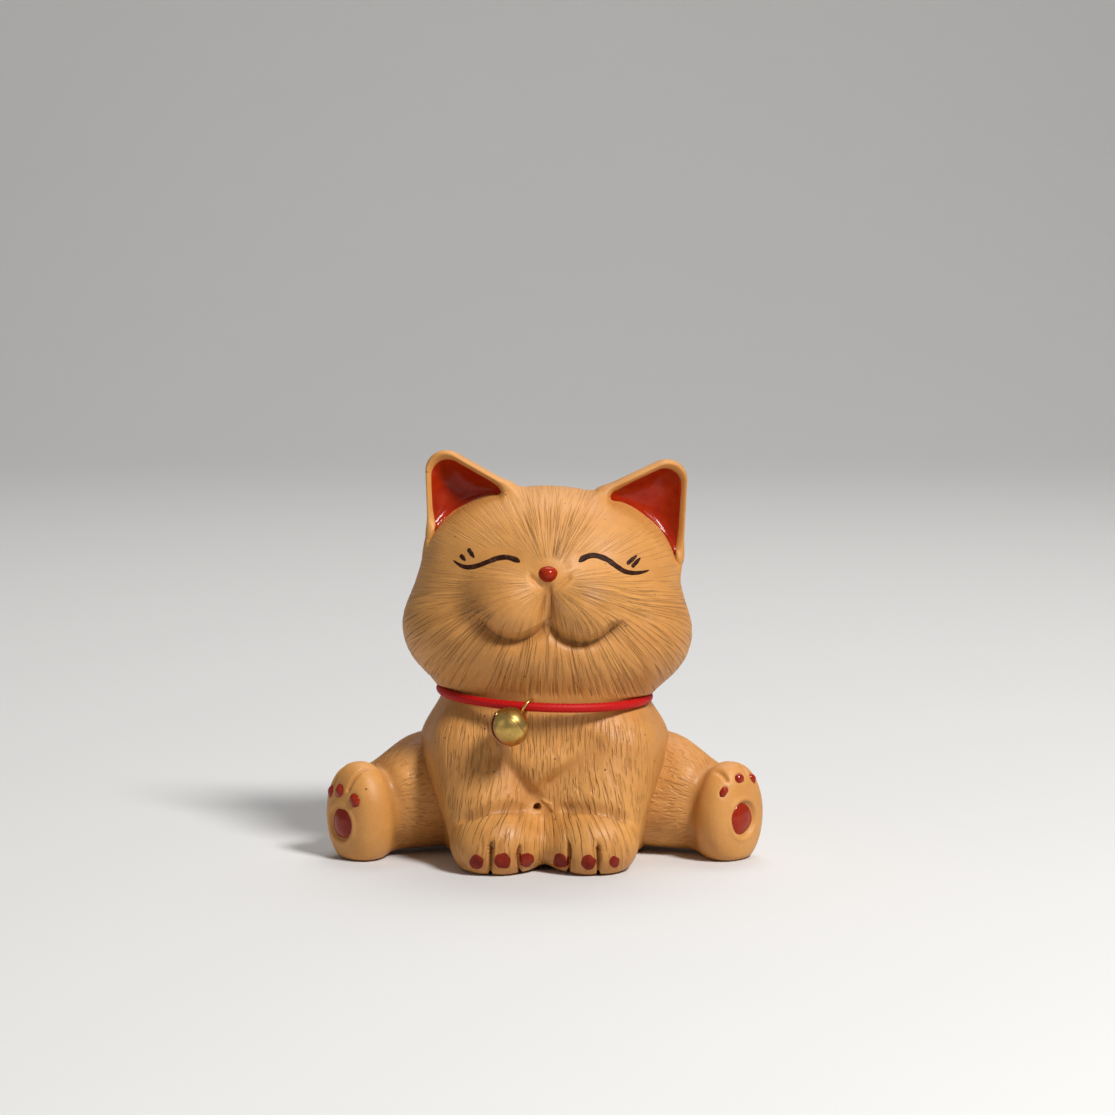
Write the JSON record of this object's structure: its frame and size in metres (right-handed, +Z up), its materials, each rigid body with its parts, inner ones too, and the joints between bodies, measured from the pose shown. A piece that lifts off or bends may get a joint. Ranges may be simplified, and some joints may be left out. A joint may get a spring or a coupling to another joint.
{
  "type": "tea pet",
  "caption": "Sitting, smiling clay cat for a tea tray, with dished ears, soles turned out, a cord collar that turns on the neck and a jingle bell that swings on it.",
  "frame": {"origin": "on the table, under the middle of the neck", "axes": "+Z up; the cat faces -Y; +X is the cat's own left, which is the viewer's right"},
  "size_m": [0.0706, 0.0482, 0.066],
  "materials": {
    "clay": "matte unglazed tan clay with fine combed fur lines",
    "red_coat": "glossy dark red slip",
    "dark_line": "dark brown painted line, half gloss",
    "cord": "red braided cord with a soft sheen",
    "brass": "thin sheet brass, a little dulled",
    "steel": "plain steel shot"
  },
  "bodies": {
    "clay": {"torso": "clay", "head": "clay", "left_ear": "clay", "right_ear": "clay", "left_hind_leg": "clay", "right_hind_leg": "clay", "tail": "clay", "left_ear_lining": "red_coat", "right_ear_lining": "red_coat", "nose": "red_coat", "left_eye_line": "dark_line", "right_eye_line": "dark_line", "left_paw_claws": "red_coat", "right_paw_claws": "red_coat", "left_toe_pads": "red_coat", "right_toe_pads": "red_coat", "left_sole_pad": "red_coat", "right_sole_pad": "red_coat"},
    "collar": {"collar_cord": "cord", "collar_knot": "cord"},
    "bell": {"bell_upper_shell": "brass", "bell_lower_shell": "brass", "bell_loop": "brass"},
    "pellet": {"bell_pellet": "steel"}
  },
  "joints": [
    {"name": "collar_turn", "type": "hinge", "parent": "clay", "child": "collar", "pos_m": [0, 0, 0.0266], "axis": [0.0419, 0, 0.9991], "range_deg": [-6, 26]},
    {"name": "bell_swing", "type": "hinge", "parent": "collar", "child": "bell", "pos_m": [-0.00271, -0.01673, 0.02671], "axis": [-0.9863, 0.1599, 0.0413], "range_deg": [-10, 70]},
    {"name": "pellet_roll", "type": "hinge", "parent": "bell", "child": "pellet", "pos_m": [-0.00544, -0.01897, 0.02389], "axis": [0, 1, 0], "continuous": true}
  ]
}
